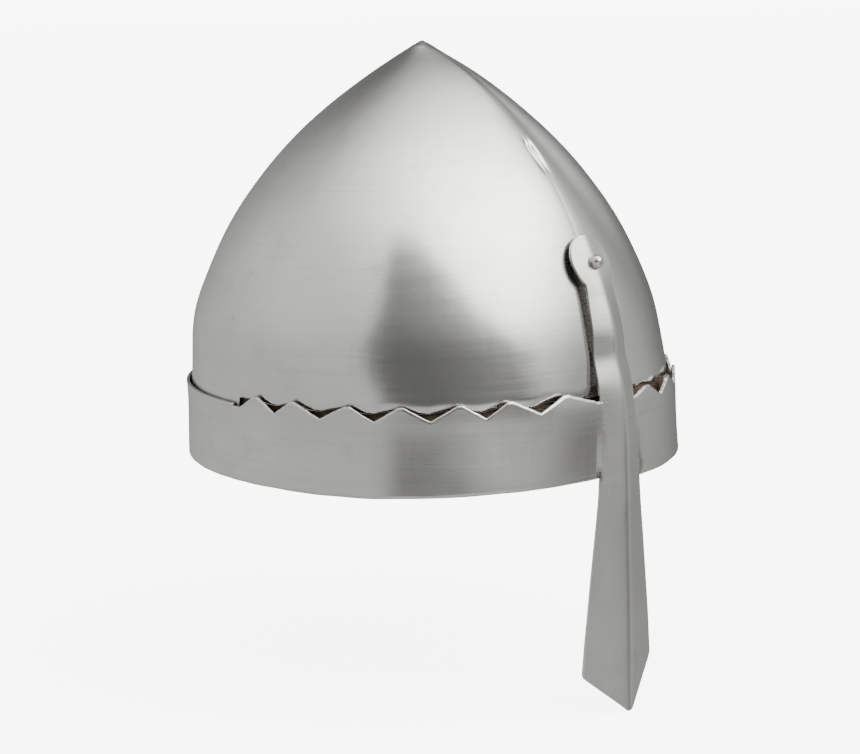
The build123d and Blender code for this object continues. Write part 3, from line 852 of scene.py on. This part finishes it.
# ---- rivet ----------------------------------------------------------------------------------------
def lathe(name, centre, axis, profile, segs, node_names, slot_name, mat, rough=0.0, seed=1):
    """Turned piece: profile is (radius, distance along the axis) in metres, from end to end."""
    z = Vector(axis).normalized()
    x = z.orthogonal().normalized()
    y = z.cross(x)
    verts, faces = [], []
    for r, h in profile:
        for k in range(segs):
            a = 2 * math.pi * k / segs
            p = Vector(centre) + z * h + (x * math.cos(a) + y * math.sin(a)) * r
            p += z * (rough * noise.noise(p * 700 + Vector((seed, 0, 0))))
            verts.append(p)
    for i in range(len(profile) - 1):
        for k in range(segs):
            q = (k + 1) % segs
            faces.append((i * segs + k, i * segs + q, (i + 1) * segs + q, (i + 1) * segs + k))
    faces.append(tuple(reversed(range(segs))))
    faces.append(tuple((len(profile) - 1) * segs + k for k in range(segs)))
    return make(name, verts, faces, node_names, slot_name, mat)


r_lo, r_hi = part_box("nasal_rivet")
w_lo, w_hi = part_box("rivet_washer")
head = Vector((0, r_lo.y + 2.9 * MM, r_hi.z - 2.9 * MM))
foot = Vector((0, (w_lo.y + w_hi.y) / 2, (w_lo.z + w_hi.z) / 2))
out = (head - foot).normalized()
run = (head - foot).length
ball = [(0.0003, 3.0 * MM)]
ball += [(2.95 * MM * math.sin(a), 2.9 * MM * math.cos(a)) for a in np.linspace(0.15, 1.75, 14)]
ball += [(1.7 * MM, -0.65 * MM), (1.6 * MM, -1.0 * MM)]
ball += [(1.6 * MM, -run - 0.5 * MM), (2.3 * MM, -run - 0.6 * MM),
         (2.25 * MM, -run - 1.1 * MM), (1.5 * MM, -run - 1.55 * MM), (0.3 * MM, -run - 1.65 * MM)]
lathe("rivet", head, out, ball[::-1], 40, ["nasal_rivet"], "rivet_steel", RIVET, 0.00012, 2)

nodes["band_tacks"].data.materials.clear()
nodes["band_tacks"].data.materials.append(WELD)
nodes["rivet_washer"].data.materials.clear()
nodes["rivet_washer"].data.materials.append(RIVET)
# ---- leather liner ------------------------------------------------------------------------------
def inward(grid):
    """Unit plan vectors from each point towards the helmet's axis."""
    flat = grid * (1, 1, 0)
    return -flat / np.linalg.norm(flat, axis=-1, keepdims=True)


def head_band():
    """Strip of thick leather round the inside of the rim, butted at the back."""
    bvh = tree("liner_band")
    lo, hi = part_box("liner_band")
    cols = 320
    angles = np.linspace(-math.pi + 0.012, math.pi - 0.012, cols)
    share = np.linspace(0, 1, 15)
    hem = np.array([noise.noise(Vector((a * 3.1, 8.2, 1.4))) for a in angles]) * 0.5 * MM
    grid = np.zeros((len(share), cols, 3))
    for i, s in enumerate(share):
        z = lo.z + 0.3 * MM + (hi.z - lo.z - 0.9 * MM) * s
        r = np.array([radius_at(bvh, a, z) or 0.0 for a in angles])
        r = np.where(r < 0.06, np.median(r), r)
        grid[i] = direction(angles) * r[:, None]
        grid[i, :, 2] = z + hem * (abs(s - 0.5) * 2)
    roll = (np.abs(share - 0.5) * 2) ** 6 * 0.5 * MM
    dent = 0.25 * MM * (1 + wobble(grid, 0.02, 31)) / 2 + roll[:, None]
    grid = grid + inward(grid) * dent[..., None]
    nn = grid_normals(grid)
    flip = nn[7, cols // 2] @ inward(grid)[7, cols // 2] > 0
    thicken("liner_head_band", grid, HEAD_BAND_LEATHER, flip, 0.5 * MM, ["liner_band"], "leather", LEATHER)


def petal_edges(bvh, middle, z, reach):
    """Plan angles of a petal's two sides at a height."""
    ends = []
    for side in (-1, 1):
        inside, outside = 0.0, reach
        for _ in range(12):
            m = (inside + outside) / 2
            r = radius_at(bvh, middle + side * m, z)
            if r is None or r < 0.01:
                outside = m
            else:
                inside = m
        ends.append(side * inside)
    return ends


def petal(index, count):
    """Leather tongue with rounded corners, slightly gathered where the lace draws it in."""
    node_name = f"liner_petal_{index + 1}"
    bvh = tree(node_name)
    lo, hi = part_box(node_name)
    middle = (index + 0.5) * 2 * math.pi / count
    reach = 2 * math.pi / count
    levels = np.linspace(lo.z + 0.2 * MM, hi.z - 0.4 * MM, 26)
    sides = np.array([petal_edges(bvh, middle, z, reach) for z in levels])
    sides = blur(sides, 1.0, 0)
    rows, cols = ((56, 33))
    u = np.linspace(-1, 1, cols)
    start = levels[0] + 2.5 * MM * np.abs(u) ** 5
    stop = levels[-1] - 6.5 * MM * np.abs(u) ** 3.5
    grid = np.zeros((rows, cols, 3))
    for i, s in enumerate(np.linspace(0, 1, rows)):
        for j in range(cols):
            z = start[j] + (stop[j] - start[j]) * s
            a = middle + 0.985 * u[j] * abs(np.interp(z, levels, sides[:, 0 if u[j] < 0 else 1]))
            r = radius_at(bvh, a, z)
            if r is None:
                r = float(np.linalg.norm(grid[i - 1, j, :2])) if i else 0.08
            grid[i, j] = (-math.sin(a) * r, -math.cos(a) * r, z)
    grid[..., :2] = blur(blur(grid[..., :2], 0.8, 0), 0.8, 1)
    rise = np.linspace(0, 1, rows)[:, None]
    gather = 0.28 * MM * (1 + np.cos(u * math.pi * 3 + index))[None, :] / 2 * np.clip(rise * 2 - 1, 0, 1)
    dent = gather + 0.22 * MM * (1 + wobble(grid, 0.016, 41 + index)) / 2
    grid = grid + inward(grid) * dent[..., None]
    nn = grid_normals(grid)
    flip = nn[rows // 4, cols // 2] @ inward(grid)[rows // 4, cols // 2] > 0
    name = f"liner_tongue_{index + 1}"
    thicken(name, grid, TONGUE_LEATHER, flip, 0.4 * MM, [node_name], "leather", LEATHER)


def draw_lace():
    """Three thin leather strands laid up round the inside of the petal tips."""
    lo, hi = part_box("lace")
    thick = (hi.z - lo.z) / 2
    centre = (lo + hi) / 2
    wide, deep = (hi.x - lo.x) / 2 - thick, (hi.y - lo.y) / 2 - thick
    count = 420
    turns = round(math.pi * (wide + deep) / (6.5 * MM))
    parts = []
    for strand in range(3):
        pts = []
        for k in range(count):
            t = 2 * math.pi * k / count
            out = Vector((math.cos(t), math.sin(t), 0))
            lay = t * turns + strand * 2 * math.pi / 3
            off = out * math.cos(lay) + Vector((0, 0, 1)) * math.sin(lay)
            pts.append(centre + Vector((out.x * wide, out.y * deep, 0)) + off * thick * 0.47)
        parts.append(tube(pts, thick * 0.5, 7, closed=True))
    make("draw_lace", *joined(parts), ["lace"], "lace", LACE)


def tied_knot():
    """The lace's knot: one strand crossing itself three times and drawn tight."""
    lo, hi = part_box("lace_knot")
    centre, half = (lo + hi) / 2, (hi - lo) / 2
    thick = 0.8 * MM
    pts = []
    for k in range(110):
        t = 2 * math.pi * k / 110
        across = (math.sin(t) + 2 * math.sin(2 * t)) / 3
        along = (math.cos(t) - 2 * math.cos(2 * t)) / 3
        pts.append(centre + Vector((-math.sin(3 * t) * (half.x - thick) * 0.8, along * (half.y - thick),
                                    across * (half.z - thick))))
    verts, faces = tube(pts, thick, 8, closed=True)
    make("tied_knot", verts, faces, ["lace_knot"], "lace", LACE)


def islands(mesh):
    """Centres of a mesh's separate pieces."""
    parent = list(range(len(mesh.vertices)))

    def root(i):
        while parent[i] != i:
            parent[i] = parent[parent[i]]
            i = parent[i]
        return i

    for e in mesh.edges:
        a, b = (root(i) for i in e.vertices)
        parent[a] = b
    groups = {}
    for i, v in enumerate(mesh.vertices):
        groups.setdefault(root(i), []).append(v.co)
    centres = []
    for group in groups.values():
        low = Vector([min(c[k] for c in group) for k in range(3)])
        high = Vector([max(c[k] for c in group) for k in range(3)])
        centres.append((low + high) / 2)
    return sorted(centres, key=lambda c: (round(c.z, 3), math.atan2(c.y, c.x)))


def sewn_thread():
    """Two-ply stitches that dive into the leather at both ends."""
    parts = []
    for number, c in enumerate(islands(nodes["stitches"].data)):
        out = Vector((c.x, c.y, 0)).normalized()
        along = Vector((-out.y, out.x, 0))
        slant = 0.12 * noise.noise(Vector((number * 1.7, 0.3, 5.0)))
        along = (along + Vector((0, 0, slant))).normalized()
        for ply in (0, math.pi):
            pts = []
            for t in np.linspace(-1, 1, 13):
                lay = t * 5.5 + ply + number
                twist = out * math.cos(lay) + Vector((0, 0, 1)) * math.sin(lay)
                sink = 0.15 * MM + 1.0 * MM * abs(t) ** 5
                pts.append(c + along * (2.0 * MM * t) + out * sink + twist * 0.19 * MM)
            parts.append(tube(pts, 0.22 * MM, 6))
    make("sewn_thread", *joined(parts), ["stitches"], "thread", THREAD)


head_band()
petal_names = [n for n in nodes if n.startswith("liner_petal_")]
for number in range(len(petal_names)):
    petal(number, len(petal_names))
draw_lace()
tied_knot()
sewn_thread()

# ---- studio ---------------------------------------------------------------------------------------
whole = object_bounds()


WHITE = 8.5      # radiance that renders as the near-white backdrop
FLOOR = 60.0     # half width of the floor, so wide that no edge shows


def floor_mat():
    """Pale matt floor, overexposed to the backdrop's white so that only a faint shadow shows."""
    mat, nt, bsdf = material("studio floor")
    co = node(nt, "ShaderNodeTexCoord").outputs["Object"]
    tone = steps(nt, noise_at(nt, co, 3.0, 2.0), 0.3, 0.7)
    nt.links.new(mixed(nt, tone, (0.90, 0.90, 0.89, 1), (0.88, 0.88, 0.875, 1)), bsdf.inputs["Base Color"])
    bsdf.inputs["Roughness"].default_value = 0.9
    bsdf.inputs["Emission Color"].default_value = (1, 1, 1, 1)
    bsdf.inputs["Emission Strength"].default_value = WHITE * 0.75
    return mat


def floor_plane():
    z = whole[0].z
    mesh = bpy.data.meshes.new("floor")
    corners = [(x * FLOOR, y * FLOOR, z) for x, y in ((-1, -1), (1, -1), (1, 1), (-1, 1))]
    mesh.from_pydata(corners, [], [(0, 1, 2, 3)])
    ob = bpy.data.objects.new("floor", mesh)
    bpy.context.scene.collection.objects.link(ob)
    ob.data.materials.append(floor_mat())
    ob.visible_glossy = False
    ob.visible_diffuse = False


floor_plane()


def towards(az, el):
    """Unit vector to a point of the studio: azimuth 0 is in front of the nasal, +90 the wearer's left."""
    az, el = math.radians(az), math.radians(el)
    return Vector((math.sin(az) * math.cos(el), -math.cos(az) * math.cos(el), math.sin(el)))


def studio_world():
    """Soft studio: a large key up on the right, grey walls, a dark gap in front and one behind."""
    world = bpy.data.worlds.new("studio")
    bpy.context.scene.world = world
    world.use_nodes = True
    nt = world.node_tree
    bg = nt.nodes["Background"]
    way = node(nt, "ShaderNodeTexCoord").outputs["Generated"]
    axes = node(nt, "ShaderNodeSeparateXYZ")
    nt.links.new(way, axes.inputs[0])
    x, y, z = axes.outputs
    deg = 180 / math.pi
    el = maths(nt, "MULTIPLY", maths(nt, "ARCSINE", z), deg)
    az = maths(nt, "MULTIPLY", maths(nt, "ARCTAN2", x, maths(nt, "MULTIPLY", y, -1.0)), deg)

    def lobe(at_az, at_el, sharp, strength):
        dot = node(nt, "ShaderNodeVectorMath", operation="DOT_PRODUCT")
        nt.links.new(way, dot.inputs[0])
        dot.inputs[1].default_value = towards(at_az, at_el)
        fall = maths(nt, "MULTIPLY", maths(nt, "SUBTRACT", dot.outputs["Value"], 1.0), sharp)
        return maths(nt, "MULTIPLY", maths(nt, "EXPONENT", fall), strength)

    def cut(level, depth):
        """1 minus depth times a mask."""
        return maths(nt, "SUBTRACT", 1.0, maths(nt, "MULTIPLY", level, depth))

    low = steps(nt, el, -35.0, 55.0, 0.78, 1.22)
    high = steps(nt, el, 48.0, 90.0, 0.0, 1.0)
    light = maths(nt, "ADD", low, high)
    key = maths(nt, "MULTIPLY", lobe(15, 48, 7.0, 7.2), steps(nt, el, -3.0, 32.0))
    light = maths(nt, "ADD", light, key)
    behind = maths(nt, "ADD", lobe(116, 3, 3.0, 0.76), lobe(143, 46, 5.0, 0.68))
    light = maths(nt, "MULTIPLY", light, cut(maths(nt, "MINIMUM", behind, 0.82), 1.0))
    left_side = maths(nt, "SUBTRACT", az, maths(nt, "MULTIPLY_ADD", el, 0.35, -73.0))
    right_side = maths(nt, "SUBTRACT", maths(nt, "MULTIPLY_ADD", el, -0.95, 18.0), az)
    wedge = maths(nt, "MULTIPLY", steps(nt, left_side, -3.0, 4.0), steps(nt, right_side, -6.0, 7.0))
    lower = maths(nt, "MULTIPLY_ADD", az, -0.1, el)
    wedge = maths(nt, "MULTIPLY", wedge, steps(nt, lower, -7.0, -1.0))
    wedge = maths(nt, "MULTIPLY", wedge, steps(nt, el, 48.0, 66.0, 0.83, 0.0))
    light = maths(nt, "MULTIPLY", light, cut(wedge, 1.0))
    light = maths(nt, "MULTIPLY", light, cut(lobe(34, -14, 20.0, 0.74), 1.0))
    light = maths(nt, "ADD", light, lobe(106, 18, 70.0, 0.9))
    light = maths(nt, "ADD", light, lobe(-20, -16, 30.0, 0.35))
    shade = node(nt, "ShaderNodeCombineColor")
    for i, tint in enumerate((1.0, 1.0, 0.985)):
        nt.links.new(maths(nt, "MULTIPLY", light, tint), shade.inputs[i])
    seen = node(nt, "ShaderNodeLightPath").outputs["Is Camera Ray"]
    nt.links.new(mixed(nt, seen, shade.outputs[0], (WHITE, WHITE, WHITE, 1)), bg.inputs[0])
    bg.inputs[1].default_value = 1.0


studio_world()

# camera at the photograph's viewing angle
az, el, roll = math.radians(-46.062), math.radians(10.278), math.radians(-1.255)
back = Vector((math.sin(az) * math.cos(el), -math.cos(az) * math.cos(el), math.sin(el)))
right = Vector((math.cos(az), math.sin(az), 0))
up = back.cross(right)
right, up = right * math.cos(roll) + up * math.sin(roll), up * math.cos(roll) - right * math.sin(roll)
cam_data = bpy.data.cameras.new("camera")
cam_data.lens = 84.08
cam_data.sensor_width = 36.0
cam_data.clip_start = 0.02
cam = bpy.data.objects.new("camera", cam_data)
bpy.context.scene.collection.objects.link(cam)
cam.matrix_world = Matrix((
    (right.x, up.x, back.x, -0.6175),
    (right.y, up.y, back.y, -0.5955),
    (right.z, up.z, back.z, 0.1845),
    (0, 0, 0, 1)))
bpy.context.scene.camera = cam
